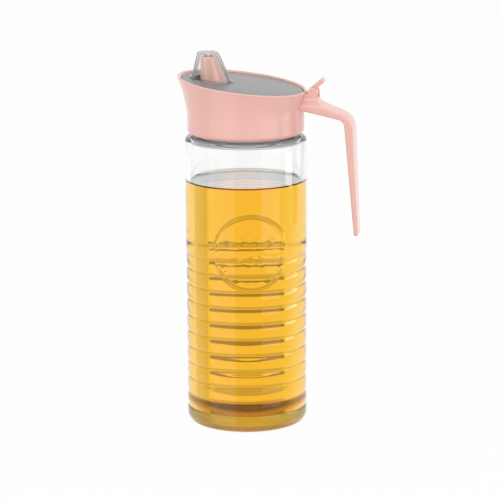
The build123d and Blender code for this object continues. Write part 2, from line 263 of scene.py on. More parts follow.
class Graph:
    """Adds nodes to a node tree."""

    def __init__(self, tree):
        self.tree = tree
        tree.nodes.clear()

    def add(self, kind, sockets=None, settings=None):
        """One node: its settings are set first, then the values or links of its sockets."""
        node = self.tree.nodes.new(kind)
        for name, setting in (settings or {}).items():
            setattr(node, name, setting)
        for key, value in (sockets or {}).items():
            socket = node.inputs[key]
            if isinstance(value, Value):
                value = value.socket
            if isinstance(value, bpy.types.NodeSocket):
                self.tree.links.new(value, socket)
            elif hasattr(value, "__len__") and len(value) == 3 and len(socket.default_value) == 4:
                socket.default_value = (*value, 1.0)
            else:
                socket.default_value = value
        return node

    def place(self):
        """Object coordinates, whose z is the height above the surface that the object stands on."""
        return self.add("ShaderNodeTexCoord").outputs["Object"]

    def axes(self, vector):
        """The x, y and z of a vector."""
        parts = self.add("ShaderNodeSeparateXYZ", {0: vector}).outputs
        return [Value(self, socket) for socket in parts]

    def noise(self, scale, detail):
        """Noise on Object coordinates, about 0 to 1."""
        sockets = {"Vector": self.place(), "Scale": scale, "Detail": detail}
        return Value(self, self.add("ShaderNodeTexNoise", sockets).outputs[0])

    def facing(self):
        """0 where the surface is seen face on, 1 where it is seen edge on."""
        return Value(self, self.add("ShaderNodeLayerWeight", {"Blend": 0.5}).outputs["Facing"])

    def bump(self, height, strength, distance):
        """A normal bent by a height."""
        sockets = {"Strength": strength, "Distance": distance, "Height": height}
        return self.add("ShaderNodeBump", sockets).outputs["Normal"]

    def mix_colours(self, amount, first, second):
        """Colour between two colours."""
        sockets = {0: amount, 6: first, 7: second}
        return self.add("ShaderNodeMix", sockets, {"data_type": "RGBA"}).outputs[2]

    def principled(self, sockets):
        return self.add("ShaderNodeBsdfPrincipled", sockets).outputs[0]

    def mix_shaders(self, amount, first, second):
        """Shader between two shaders."""
        return self.add("ShaderNodeMixShader", {0: amount, 1: first, 2: second}).outputs[0]

    def finish(self, surface, **more):
        """The material's output."""
        self.add("ShaderNodeOutputMaterial", {"Surface": surface, **more})

    def surface(self, sockets):
        """A material that is one Principled shader."""
        self.finish(self.principled(sockets))


def new_material(name):
    """A material with an empty node tree, and its graph."""
    material = bpy.data.materials.new(name)
    material.use_nodes = True
    return material, Graph(material.node_tree)


def shade(colour_value, share):
    """A colour made darker or lighter by a share."""
    return tuple(min(1.0, channel * share) for channel in colour_value)


def pink_plastic(finish):
    material, graph = new_material("glossy_pink_plastic")
    cloud = graph.noise(22.0, 3.0)
    skin = graph.noise(420.0, 2.0)
    tone = graph.mix_colours(cloud, shade(finish.pink, 0.985), shade(finish.pink, 1.015))
    normal = graph.bump(skin, 0.05, 0.0002)
    graph.surface({"Base Color": tone, "Roughness": skin * 0.05 + 0.17, "IOR": 1.5, "Normal": normal})
    return material


def grey_plastic(finish):
    material, graph = new_material("polished_grey_plastic")
    cloud = graph.noise(40.0, 3.0)
    tone = graph.mix_colours(cloud, shade(finish.grey, 0.96), shade(finish.grey, 1.04))
    normal = graph.bump(cloud, 0.03, 0.0004)
    graph.surface({"Base Color": tone, "Roughness": cloud * 0.05 + 0.3, "IOR": 1.3, "Normal": normal})
    return material


def clear_glass(finish):
    """Glass with a frosted underside, painted shade at its edges, the oil's light painted into its foot and
    painted shade at its shoulder.
    """
    material, graph = new_material("clear_moulded_glass")
    ripple = graph.noise(28.0, 1.0)
    height = graph.axes(graph.place())[2]
    # Painted shade: the glass colour darkens where the surface is seen edge on.
    tone = graph.mix_colours(graph.facing().ease(0.55, 0.95), finish.glass, shade(finish.glass, 0.8))
    # Painted light: the oil's colour and shade painted into the glass near the foot.
    tone = graph.mix_colours(height.ease(*FOOT_PAINTED_LIGHT_FADE), finish.glass_foot_painted_oil_light, tone)
    # Painted shade: the glass turns dark slate at the shoulder.
    tone = graph.mix_colours(height.ease(*SHOULDER_PAINTED_SHADE_START), tone, finish.glass_shoulder_painted_shade)
    clear = {"IOR": GLASS_INDEX, "Transmission Weight": 1.0, "Normal": graph.bump(ripple, 0.12, 0.001)}
    graph.surface({"Base Color": tone, "Roughness": height.ease(*FROST_FADE, FROST, 0.0), **clear})
    return material


def clear_plastic(finish):
    """Thin clear plastic: see-through, mirror-like where light grazes it, with painted shade at its edges."""
    material, graph = new_material("clear_moulded_plastic")
    facing = graph.facing()
    face_on, grazing, painted_edge_share = 0.045, 0.9, 0.8
    mirror = facing.math("POWER", facing, 5.0) * grazing + face_on
    clear = graph.add("ShaderNodeBsdfTransparent", {"Color": finish.clear}).outputs[0]
    shine = graph.principled({"Base Color": CLEAR, "Metallic": 1.0, "Roughness": 0.04})
    # Painted shade: an opaque dark grey shader on the hood's edges.
    edge = graph.principled({"Base Color": finish.clear_edge_painted_shade, "Roughness": 0.2, "IOR": PLASTIC_INDEX})
    walls = graph.mix_shaders(mirror, clear, shine)
    graph.finish(graph.mix_shaders(facing.ease(0.3, 0.9) * painted_edge_share, walls, edge))
    return material


def wetted_glass(finish):
    """Glass where the oil wets it: light only bends as much as it does between the two."""
    material, graph = new_material("oil_wetted_glass")
    graph.surface({**CLEAR_THROUGH, "IOR": GLASS_INDEX / OIL_INDEX})
    return material


def golden_oil(finish):
    """Oil whose open top bends light as oil in air does, and whose sides leave that to the glass."""
    material, graph = new_material("golden_oil")
    x, y, z = graph.axes(graph.place())
    from_axis = x.math("SQRT", x * x + y * y)
    within = x.math("LESS_THAN", from_axis, OIL_RADIUS - 0.05 * MM)
    open_top = z.math("GREATER_THAN", z, OIL_LEVEL - 2 * MM) * within
    top = graph.principled({**CLEAR_THROUGH, "IOR": OIL_INDEX, "Coat Weight": 1.0, "Coat IOR": 2.0})
    side = graph.principled({**CLEAR_THROUGH, "IOR": 1.0})
    sockets = {"Color": tuple(finish.oil), "Density": finish.oil_density}
    depth = graph.add("ShaderNodeVolumeAbsorption", sockets).outputs[0]
    graph.finish(graph.mix_shaders(open_top, side, top), Volume=depth)
    return material


def seal_rubber(finish):
    material, graph = new_material("seal_silicone")
    cloud = graph.noise(90.0, 2.0)
    tone = graph.mix_colours(cloud, shade(finish.rubber, 0.94), shade(finish.rubber, 1.04))
    graph.surface({"Base Color": tone, "Roughness": cloud * 0.15 + 0.4})
    return material


def pin_steel(finish):
    material, graph = new_material("drawn_pin_steel")
    along = graph.add("ShaderNodeMapping", {"Vector": graph.place(), "Scale": (2500.0, 60.0, 2500.0)})
    lines = graph.add("ShaderNodeTexNoise", {"Vector": along.outputs[0], "Scale": 1.0, "Detail": 2.0})
    scratches = Value(graph, lines.outputs[0])
    metal = {"Base Color": tuple(finish.steel), "Metallic": 1.0, "Roughness": scratches * 0.2 + 0.22}
    graph.surface({**metal, "Normal": graph.bump(scratches, 0.1, 0.0001)})
    return material


FINISHES = {
    "pink_plastic": pink_plastic,
    "grey_plastic": grey_plastic,
    "clear_glass": clear_glass,
    "clear_plastic": clear_plastic,
    "golden_oil": golden_oil,
    "wetted_glass": wetted_glass,
    "seal_rubber": seal_rubber,
    "pin_steel": pin_steel,
}
made_finishes = {}


def finish_for(slot, context):
    """The material for one of the record's slots, made once."""
    if slot not in made_finishes:
        made_finishes[slot] = FINISHES[slot](context.scene.cruet_finish)
    return made_finishes[slot]


# Mesh tools


def sweep(start, end, steps):
    """Evenly spaced angles between two that are given in degrees."""
    return [math.radians(start + (end - start) * i / steps) for i in range(steps + 1)]


def arc(x, z, radius, start, end, steps):
    """Points (radius, height) on an arc in the half section, angles in degrees from outwards."""
    return [(x + radius * math.cos(t), z + radius * math.sin(t)) for t in sweep(start, end, steps)]


def part_way(start, end, share):
    """The point or circle at a share of the way from one to another."""
    return tuple(a + (b - a) * share for a, b in zip(start, end))


def run(start, end, steps):
    """Points or circles from one to another, without the first."""
    return [part_way(start, end, i / steps) for i in range(1, steps + 1)]


def upright(points, x=0.0):
    """Level circles (x, height, radius, tilt) from half section points (radius, height)."""
    return [(x, z, r, 0.0) for r, z in points]


def even_angles(count=COLUMNS):
    return [TAU * i / count for i in range(count)]


def new_object(name, data):
    """An object in the scene, with a mesh, a light or a camera."""
    thing = bpy.data.objects.new(name, data)
    bpy.context.scene.collection.objects.link(thing)
    return thing


def to_object(name, builder, mesh=None):
    """An object with the builder's mesh, put into a new mesh unless one is given."""
    mesh = mesh or bpy.data.meshes.new(name)
    builder.to_mesh(mesh)
    builder.free()
    return new_object(name, mesh)


def skin(name, circles, angles=None, closed=True):
    """Mesh through circles (x, height, radius, tilt) in order. A circle without radius is a pole."""
    angles = angles or even_angles()
    builder = bmesh.new()
    rows = []
    for x, z, radius, tilt in circles:
        row = []
        for turn in angles if radius > 0 else angles[:1]:
            out = radius * math.cos(turn)
            place = (x + out * math.cos(tilt), radius * math.sin(turn), z - out * math.sin(tilt))
            row.append(builder.verts.new(place))
        rows.append(row)
    pairs = list(zip(rows, rows[1:]))
    if closed:
        pairs.append((rows[-1], rows[0]))
    count = len(angles)
    for low, high in pairs:
        for i in range(count):
            j = (i + 1) % count
            corners = [low[i % len(low)], low[j % len(low)], high[j % len(high)], high[i % len(high)]]
            builder.faces.new(list(dict.fromkeys(corners)))
    bmesh.ops.recalc_face_normals(builder, faces=builder.faces)
    return to_object(name, builder)


def shade_smooth(piece, hard):
    """Smooth shading, with edges kept hard where faces meet at more than an angle in degrees."""
    builder = bmesh.new()
    builder.from_mesh(piece.data)
    for face in builder.faces:
        face.smooth = True
    for edge in builder.edges:
        edge.smooth = len(edge.link_faces) != 2 or edge.calc_face_angle(0.0) < math.radians(hard)
    builder.to_mesh(piece.data)
    builder.free()


def settle(piece):
    """Turns the piece with its modifiers into a plain mesh."""
    graph = bpy.context.evaluated_depsgraph_get()
    graph.update()
    mesh = bpy.data.meshes.new_from_object(piece.evaluated_get(graph))
    piece.modifiers.clear()
    piece.data = mesh


def cut(piece, tool):
    """Takes a tool's shape out of a piece."""
    modifier = piece.modifiers.new("cut", "BOOLEAN")
    modifier.operation = "DIFFERENCE"
    modifier.solver = "EXACT"
    modifier.object = tool
    settle(piece)
    bpy.data.objects.remove(tool)


def cutter(name, low, high):
    """A box between two corners, used to cut."""
    builder = bmesh.new()
    bmesh.ops.create_cube(builder, size=1.0)
    for vertex in builder.verts:
        vertex.co = Vector(l + (h - l) * (c + 0.5) for l, h, c in zip(low, high, vertex.co))
    return to_object(name, builder)


def dress(piece, node, body, slot, context, hard=38.0):
    """Finishes a piece: smooth shading, its material, the node it stands for and its body."""
    shade_smooth(piece, hard)
    piece.data.materials.clear()
    piece.data.materials.append(finish_for(slot, context))
    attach(piece, body)
    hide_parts(node)


def merged_copy(node, name):
    """A joined-up copy of a CAD node's loose triangles."""
    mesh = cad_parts[node].data.copy()
    mesh.name = name
    builder = bmesh.new()
    builder.from_mesh(mesh)
    bmesh.ops.remove_doubles(builder, verts=builder.verts, dist=1e-6)
    bmesh.ops.dissolve_degenerate(builder, edges=builder.edges, dist=1e-7)
    return to_object(name, builder, mesh)


# Glass bottle


def bell(x):
    """1 at 0, falling smoothly to 0 at -1 and 1."""
    return (0.5 + 0.5 * math.cos(math.pi * x)) if abs(x) < 1 else 0.0


def step(x, low, high):
    """0 before low, 1 after high, smooth between."""
    t = min(1.0, max(0.0, (x - low) / (high - low)))
    return t * t * (3 - 2 * t)


def leaf_relief(p, q, half_length, half_width):
    """Height of a pointed leaf with a sunken vein, 0 to 1, at p along and q across it."""
    if abs(p) >= half_length:
        return 0.0
    width = half_width * (1 - (p / half_length) ** 2) ** 0.85
    if abs(q) >= width:
        return 0.0
    vein = 0.45 * math.exp(-((q / (0.18 * half_width)) ** 2))
    return math.sqrt(1 - (q / width) ** 2) * (1 - vein)


def olive_relief(p, q, half_length, half_width):
    """Height of a rounded fruit, 0 to 1."""
    inside = 1 - (p / half_length) ** 2 - (q / half_width) ** 2
    return math.sqrt(inside) if inside > 0 else 0.0


# Leaves and fruit of the sprig on the medallion: centre, turn in degrees, half length, half width
LEAVES = [
    (-14.5, 6.2, 152, 6.4, 2.3),
    (-11.5, -4.5, 212, 6.4, 2.3),
    (-6.2, 9.6, 118, 6.2, 2.2),
    (-3.2, -7.6, 238, 6.2, 2.2),
    (3.4, 9.2, 70, 6.2, 2.2),
    (7.4, -6.4, 300, 6.0, 2.2),
    (12.0, 7.0, 36, 6.0, 2.1),
    (17.0, 0.4, 2, 5.2, 2.0),
]
OLIVES = [(0.8, -3.9, 250, 3.6, 2.6), (10.2, 1.4, 330, 3.3, 2.4)]
STEM_HALF = 14.0
BEADS = 30


def sprig_relief(u, v):
    """Height of the sprig, 0 to 1, at millimetres from the medallion's centre."""
    best = 0.0
    for shape, rows in ((leaf_relief, LEAVES), (olive_relief, OLIVES)):
        for x, z, turn, half_length, half_width in rows:
            du, dv = u - x, v - z
            if abs(du) > 8 or abs(dv) > 8:
                continue
            c, s = math.cos(math.radians(turn)), math.sin(math.radians(turn))
            best = max(best, shape(c * du + s * dv, c * dv - s * du, half_length, half_width))
    if abs(u + 1) < STEM_HALF:
        middle = 1.2 * math.sin(u / 7.0)
        best = max(best, 0.7 * bell((v - middle) / 1.1))
    return best


def bead_relief(u, v, ring_radius):
    """Height of the ring of small beads, 0 to 1."""
    turn = math.atan2(v, u)
    nearest = round(turn / TAU * BEADS) * TAU / BEADS
    du = u - ring_radius * math.cos(nearest)
    dv = v - ring_radius * math.sin(nearest)
    inside = 1 - (du * du + dv * dv) / BEAD_RADIUS**2
    return math.sqrt(inside) if inside > 0 else 0.0


def glass_columns(s):
    """Angles round the bottle, close together across the medallion."""
    centre = FRONT + s.medallion_turn
    dense_margin, fine, coarse = 1.6 * MM, 88, 104
    reach = (s.medallion + dense_margin) / s.radius
    dense = [centre - reach + 2 * reach * i / fine for i in range(fine)]
    rest = TAU - 2 * reach
    return dense + [centre + reach + rest * i / coarse for i in range(coarse)]


def glass_section(s):
    """Half section of the bottle without its ribs, from the middle of the base to the inside floor."""
    ring_width, lip, fillet, rounding = 5 * MM, 0.8 * MM, 0.6 * MM, MM
    fine_row, band_start = 0.65 * MM, 1.1 * MM
    ring_outer = s.crest - s.foot
    ring_inner = ring_outer - ring_width
    inside = s.radius - s.wall
    swell = s.radius - s.crest
    rib_end = s.rib_start + s.rib_count * s.rib_pitch
    low = s.medallion_z - s.medallion - MEDALLION_MARGIN
    high = s.medallion_z + s.medallion + MEDALLION_MARGIN
    coarse_rows = round((low - s.rib_start) / (s.rib_pitch / 14))
    points = [(0.0, s.push_up)]
    points += [(ring_inner * i / 8, s.push_up * (1 - (i / 8) ** 2.2)) for i in range(1, 8)]
    points += [(ring_inner, 0.04 * MM), (ring_inner + 0.5 * MM, 0.0), (ring_outer - 0.5 * MM, 0.0)]
    points += arc(ring_outer, s.foot, s.foot, -90, 0, 16)
    points += run((s.crest, s.foot), (s.crest, s.rib_start), 5)
    points += run((s.crest, s.rib_start), (s.crest, low), coarse_rows)
    points += run((s.crest, low), (s.crest, rib_end), round((rib_end - low) / fine_row))
    points += [(s.crest + 0.15 * swell, rib_end + 0.3 * MM), (s.crest + 0.8 * swell, rib_end + 0.7 * MM)]
    band = rib_end + band_start
    points += run((s.radius, band), (s.radius, high), round((high - rib_end) / fine_row))
    points += run((s.radius, high), (s.radius, s.height - s.shoulder), 6)
    points += arc(s.radius - s.shoulder, s.height - s.shoulder, s.shoulder, 0, 90, 10)[1:]
    points += arc(s.neck + rounding, s.height + rounding, rounding, -90, -180, 4)
    points += run((s.neck, s.height + rounding), (s.neck, s.neck_top - lip), 26)
    points += arc(s.neck - lip, s.neck_top - lip, lip, 0, 90, 4)[1:]
    points += arc(s.bore + lip, s.neck_top - lip, lip, 90, 180, 4)
    under = s.height - s.shoulder_wall
    points += run((s.bore, s.neck_top - lip), (s.bore, under + fillet), 3)
    points += arc(s.bore + fillet, under + fillet, fillet, 180, 270, 4)[1:]
    points += arc(inside - s.inner_corner, under - s.inner_corner, s.inner_corner, 90, 0, 6)
    points += run((inside, under - s.inner_corner), (inside, OIL_LEVEL), 2)
    points += run((inside, OIL_LEVEL), (inside, s.floor + s.inner_foot), 3)
    points += arc(inside - s.inner_foot, s.floor + s.inner_foot, s.inner_foot, 0, -90, 10)[1:]
    points += run((inside - s.inner_foot, s.floor), (0.0, s.floor), 4)
    return points


def rib_tree(names):
    """Geometry nodes that press ribs into the outside wall and raise a thread on the neck."""
    tree = bpy.data.node_groups.new("Ribs and Thread", "GeometryNodeTree")
    graph = Graph(tree)
    kinds = [("Geometry", "NodeSocketGeometry")]
    kinds += [(name, "NodeSocketFloat") for name in names]
    kinds += [("Material", "NodeSocketMaterial")]
    for name, kind in kinds:
        tree.interface.new_socket(name=name, in_out="INPUT", socket_type=kind)
    tree.interface.new_socket(name="Geometry", in_out="OUTPUT", socket_type="NodeSocketGeometry")
    source = graph.add("NodeGroupInput").outputs
    size = {name: Value(graph, source[name]) for name in names}
    x, y, z = graph.axes(graph.add("GeometryNodeInputPosition").outputs[0])
    radius = x.math("SQRT", x * x + y * y)
    nearly, groove_rounding, ridge_flank = 0.02 * MM, 0.012, (0.28, 0.46)

    turn = (z - size["Rib Start"]) / size["Rib Pitch"]
    swell = turn.math("SINE", turn * math.pi)
    arch = swell.math("SQRT", swell * swell + groove_rounding)
    crest = radius.between(size["Crest Radius"] - nearly, size["Crest Radius"] + nearly)
    ribbed = turn.between(0.0, size["Rib Count"]) * crest
    press = ribbed * size["Rib Depth"] * (arch - 1.0)

    angle_share = y.math("ARCTAN2", y, x) / TAU
    lead = (z - size["Neck Start"]) / size["Thread Pitch"] - angle_share
    part_turn = lead.math("FRACT", lead)
    ridge = part_turn.math("PINGPONG", part_turn, 0.5).ease(*ridge_flank)
    fade = z.ease(size["Neck Start"], size["Neck Start"] + MM)
    fade = fade * z.ease(size["Neck End"] - MM, size["Neck End"], 1.0, 0.0)
    neck = radius.between(size["Neck Radius"] - nearly, size["Neck Radius"] + nearly)
    raise_by = neck * fade * ridge * size["Thread Height"]

    share = (radius + press + raise_by) / radius.math("MAXIMUM", radius, MM)
    on_axis = radius.math("LESS_THAN", radius, MM)
    share = share * (1.0 - on_axis) + on_axis
    place = graph.add("ShaderNodeCombineXYZ", {0: x * share, 1: y * share, 2: z})
    sockets = {"Geometry": source["Geometry"], "Position": place.outputs[0]}
    moved = graph.add("GeometryNodeSetPosition", sockets)
    real = graph.add("GeometryNodeRealizeInstances", {"Geometry": moved.outputs[0]})
    sockets = {"Geometry": real.outputs[0], "Material": source["Material"]}
    coated = graph.add("GeometryNodeSetMaterial", sockets)
    graph.add("NodeGroupOutput", {0: coated.outputs[0]})
    return tree


def medallion_relief(u, v, edge):
    """Height of the ring, beads and sprig, all in millimetres. Ring and beads grow towards the bottom."""
    away = math.hypot(u, v)
    low = step(v, 0.1 * edge, -0.7 * edge)
    within = step(away, edge - SPRIG_EDGE, edge - SPRIG_FULL) * step(v, 0.5 * edge, 0.2 * edge)
    relief = (RING_RISE + LOW_RING_RISE * low) * bell((away - (edge - RING_INSET)) / RING_HALF) ** 0.7
    relief += BEAD_RISE * low * bead_relief(u, v, edge - BEAD_INSET)
    return relief + SPRIG_RISE * within * sprig_relief(u, v)


def press_medallion(piece, s):
    """Raises the medallion's field, ring, beads and sprig out of the outside wall."""
    centre = FRONT + s.medallion_turn
    edge = s.medallion / MM
    for vertex in piece.data.vertices:
        x, y, z = vertex.co
        radius = math.hypot(x, y)
        turn = math.remainder(math.atan2(y, x) - centre, TAU)
        u = turn * s.radius / MM
        v = (z - s.medallion_z) / MM
        away = math.hypot(u, v)
        if radius < s.radius - 0.5 * s.wall or away * MM > s.medallion + MEDALLION_MARGIN:
            continue
        field = step(away, edge + 0.5, edge - 0.4)
        target = radius + (s.radius + FIELD_RISE * MM - radius) * field
        target += medallion_relief(u, v, edge) * MM
        vertex.co.x = x * target / radius
        vertex.co.y = y * target / radius


class CRUET_OT_glass_bottle(bpy.types.Operator):
    """Make the glass bottle with its ribs, neck thread and medallion"""

    bl_idname = "cruet.glass_bottle"
    bl_label = "Glass Bottle"

    def execute(self, context):
        s = context.scene.cruet_glass
        piece = skin("ribbed_glass", upright(glass_section(s)), glass_columns(s), closed=False)
        thread_inset = 2 * MM
        sizes = {
            "Rib Count": float(s.rib_count),
            "Rib Pitch": s.rib_pitch,
            "Rib Start": s.rib_start,
            "Rib Depth": s.rib_depth,
            "Crest Radius": s.crest,
            "Neck Radius": s.neck,
            "Neck Start": s.height + thread_inset,
            "Neck End": s.neck_top - thread_inset,
            "Thread Pitch": s.thread_pitch,
            "Thread Height": s.thread_height,
        }
        inputs = {**sizes, "Material": finish_for("clear_glass", context)}
        modifier = piece.modifiers.new("ribs", "NODES")
        modifier.node_group = rib_tree(sizes)
        for socket in modifier.node_group.interface.items_tree:
            if socket.in_out == "INPUT" and socket.name in inputs:
                modifier[socket.identifier] = inputs[socket.name]
        settle(piece)
        press_medallion(piece, s)
        dress(piece, "glass_bottle", "bottle", "clear_glass", context, hard=70.0)
        piece.data.materials.append(finish_for("wetted_glass", context))
        for face in piece.data.polygons:
            x, y, z = face.center
            if s.floor - SKIN < z < OIL_LEVEL and math.hypot(x, y) < s.radius - s.wall + SKIN:
                face.material_index = 1
        return {"FINISHED"}


class CRUET_OT_oil(bpy.types.Operator):
    """Make the oil with its curved edge against the glass"""

    bl_idname = "cruet.oil"
    bl_label = "Oil"

    def execute(self, context):
        s = context.scene.cruet_glass
        bottom = s.floor + SKIN
        level = OIL_LEVEL - s.meniscus
        rings = (0.0, 12 * MM, 24 * MM)
        reach = 3.2 * MM
        points = [(radius, bottom) for radius in rings]
        points += arc(OIL_RADIUS - s.inner_foot, bottom + s.inner_foot, s.inner_foot, -90, 0, 10)
        points += run((OIL_RADIUS, bottom + s.inner_foot), (OIL_RADIUS, OIL_LEVEL), 5)
        for i in range(1, 9):
            t = i / 8
            points.append((OIL_RADIUS - reach * t, level + s.meniscus * (1 - t) ** 2.6))
        points += [(radius, level) for radius in reversed(rings)]
        piece = skin("oil_body", upright(points), even_angles(192), closed=False)
        dress(piece, "oil_fill", "bottle", "golden_oil", context, hard=60.0)
        return {"FINISHED"}


class CRUET_OT_neck_seal(bpy.types.Operator):
    """Make the seal ring on the neck"""

    bl_idname = "cruet.neck_seal"
    bl_label = "Neck Seal"

    def execute(self, context):
        edge, inset = 0.35 * MM, 0.3 * MM
        outer, inner = SEAL_HIGH.x - edge, context.scene.cruet_glass.bore + inset + edge
        low, high = SEAL_LOW.z + edge, SEAL_HIGH.z - edge
        points = arc(outer, low, edge, -90, 0, 4) + arc(outer, high, edge, 0, 90, 4)
        points += arc(inner, high, edge, 90, 180, 4) + arc(inner, low, edge, 180, 270, 4)
        piece = skin("seal_ring", upright(points))
        dress(piece, "neck_seal", "seal", "seal_rubber", context)
        return {"FINISHED"}


# Closure


def rim_z(s, x, drop):
    """Height at x of the rim's plane, or of one that lies drop below it."""
    return s.rim_height - (x + s.rim_shift) * math.tan(s.rim_tilt) - drop / math.cos(s.rim_tilt)


def flare_circle(s, share, inset):
    """Slanted circle of the collar, at a share of the way from its straight part to its rim."""
    height = s.flare_start + (s.rim_height - s.flare_start) * share
    radius = s.radius + s.rim_flare * share**1.8 - inset
    return (-s.rim_shift * share**1.3, height, radius, s.rim_tilt * share)


def rim_circle(s, drop, inset):
    """Circle on a plane that lies drop below the rim, drawn in from the collar's outside."""
    x, _, radius, _ = flare_circle(s, 1 - drop / (s.rim_height - s.flare_start), inset)
    return (x, rim_z(s, x, drop), radius, s.rim_tilt)


def rounded(s, drop, inset, radius, start, end, steps):
    """Circles on a small rounded edge of something that lies in the rim."""
    return [rim_circle(s, drop - z, inset - x) for x, z in arc(0.0, 0.0, radius, start, end, steps)]


class CRUET_OT_collar(bpy.types.Operator):
    """Make the flared collar with its slanted rim, ledge and seat"""

    bl_idname = "cruet.collar"
    bl_label = "Collar"

    def execute(self, context):
        s = context.scene.cruet_closure
        inner = s.radius - s.wall
        lip, soft, ledge_height, seat_height = 0.9 * MM, 0.3 * MM, 2 * MM, 2 * MM
        plate_room, arm_room, arm_thickness, lower_edge = 0.05 * MM, 0.4 * MM, 1.6 * MM, 0.6 * MM
        ledge_drop = s.recess + s.plate + plate_room
        ledge_inset = s.wall + s.ledge
        circles = upright(arc(s.radius - s.corner, s.bottom + s.corner, s.corner, -66, 0, 9))
        circles += upright(run((s.radius, s.bottom + s.corner), (s.radius, s.flare_start), 5))
        circles += [flare_circle(s, i / 24, 0.0) for i in range(1, 24)]
        circles += rounded(s, lip, lip, lip, 0, 90, 6)
        circles += rounded(s, lip, s.wall - lip, lip, 90, 180, 6)
        circles += [rim_circle(s, ledge_drop, s.wall)]
        circles += rounded(s, ledge_drop + soft, ledge_inset - soft, soft, 90, 180, 3)
        circles += [rim_circle(s, ledge_drop + ledge_height - soft, ledge_inset)]
        circles += [rim_circle(s, ledge_drop + ledge_height, s.wall)]
        seat_top = s.deck_top + seat_height
        share = (seat_top - s.flare_start) / (s.rim_height - s.flare_start)
        x, _, radius, _ = flare_circle(s, share, s.wall)
        circles += [(x, seat_top, radius, 0.0)]
        bore = inner - s.seat
        circles += upright([(bore, seat_top), (bore, s.deck_top), (inner, s.deck_top)])
        circles += upright(run((inner, s.deck_top), (inner, s.bottom + lower_edge), 4))
        piece = skin("flared_collar", circles)
        rear = rim_circle(s, 0.0, 0.0)[2] * math.cos(s.rim_tilt) - s.rim_shift
        floor = rim_z(s, rear, s.recess + s.plate + arm_thickness) - arm_room
        half = s.arm / 2 + arm_room
        inwards, outwards, upwards = 10 * MM, 6 * MM, 40 * MM
        corners = (rear - inwards, -half, floor), (rear + outwards, half, floor + upwards)
        cut(piece, cutter("notch", *corners))
        dress(piece, "collar", "closure", "pink_plastic", context)
        return {"FINISHED"}


class CRUET_OT_inner_cap(bpy.types.Operator):
    """Make the inner cap: skirt, deck and nozzle"""

    bl_idname = "cruet.inner_cap"
    bl_label = "Inner Cap"

    def execute(self, context):
        s = context.scene.cruet_closure
        play, skirt_wall, over_shoulder, under_hood = 0.1 * MM, 2 * MM, 4 * MM, 1.6 * MM
        outer = s.radius - s.wall - play
        skirt = outer - skirt_wall
        skirt_low = context.scene.cruet_glass.height + over_shoulder
        bend = rim_z(s, -s.hood_x, s.recess)
        tip = s.hood_height - s.hood_wall - under_hood
        tip_x = -s.nozzle_x - s.nozzle + s.nozzle_tip
        bore, tip_bore = s.nozzle - s.nozzle_wall, s.nozzle_tip - s.nozzle_wall
        root, bevel = 1.2 * MM, 0.4 * MM
        circles = upright([(outer, skirt_low), (outer, s.deck_top)])
        for t in sweep(0, 90, 4):
            spread = root * (1 - math.sin(t))
            circles.append((-s.nozzle_x, s.deck_top + root * (1 - math.cos(t)), s.nozzle + spread, 0.0))
        foot, top = (-s.nozzle_x, bend, s.nozzle, 0.0), (tip_x, tip - bevel, s.nozzle_tip, 0.0)
        circles += [foot, *run(foot, top, 6)]
        lip = [(s.nozzle_tip - 0.15 * MM, tip - 0.1 * MM), (s.nozzle_tip - 0.45 * MM, tip)]
        circles += upright([*lip, (tip_bore + 0.25 * MM, tip)], tip_x)
        foot, top = (-s.nozzle_x, bend, bore, 0.0), (tip_x, tip - 0.3 * MM, tip_bore, 0.0)
        circles += [top, *run(top, foot, 6), (-s.nozzle_x, s.deck_bottom, bore, 0.0)]
        circles += upright([(skirt, s.deck_bottom), (skirt, skirt_low + bevel), (skirt + bevel, skirt_low)])
        piece = skin("nozzle_cap", circles)
        past, drain_gap, drain, vent, drain_turn = 3 * MM, 3 * MM, 1.5 * MM, 1.6 * MM, 0.628
        reach = s.nozzle + drain_gap
        turns = (-drain_turn, 0, drain_turn)
        holes = [(reach * math.cos(t) - s.nozzle_x, reach * math.sin(t), drain) for t in turns]
        holes.append((s.hood_x, 0.0, vent))
        low, high = s.deck_bottom - past, s.deck_top + past
        for x, y, radius in holes:
            points = [(0.0, low), (radius, low), (radius, high), (0.0, high)]
            drill = skin("drill", upright(points), even_angles(24), closed=False)
            drill.data.transform(drill.matrix_world.Translation((x, y, 0.0)))
            cut(piece, drill)
        dress(piece, "inner_cap", "closure", "pink_plastic", context)
        return {"FINISHED"}


class CRUET_OT_lid_plate(bpy.types.Operator):
    """Make the lid plate that lies in the rim"""

    bl_idname = "cruet.lid_plate"
    bl_label = "Lid Plate"

    def execute(self, context):
        s = context.scene.cruet_closure
        inset = s.wall + s.plate_gap
        edge, play = 0.35 * MM, 0.1 * MM
        low = s.recess + s.plate
        circles = rounded(s, low - edge, inset + edge, edge, -90, 0, 3)
        circles += rounded(s, s.recess + edge, inset + edge, edge, 0, 90, 4)
        hole = s.hood_radius + play
        for drop in (s.recess, low):
            circles.append((-s.hood_x, rim_z(s, -s.hood_x, drop), hole, s.rim_tilt))
        piece = skin("slanted_lid_plate", circles)
        dress(piece, "lid_plate", "lid", "grey_plastic", context)
        return {"FINISHED"}


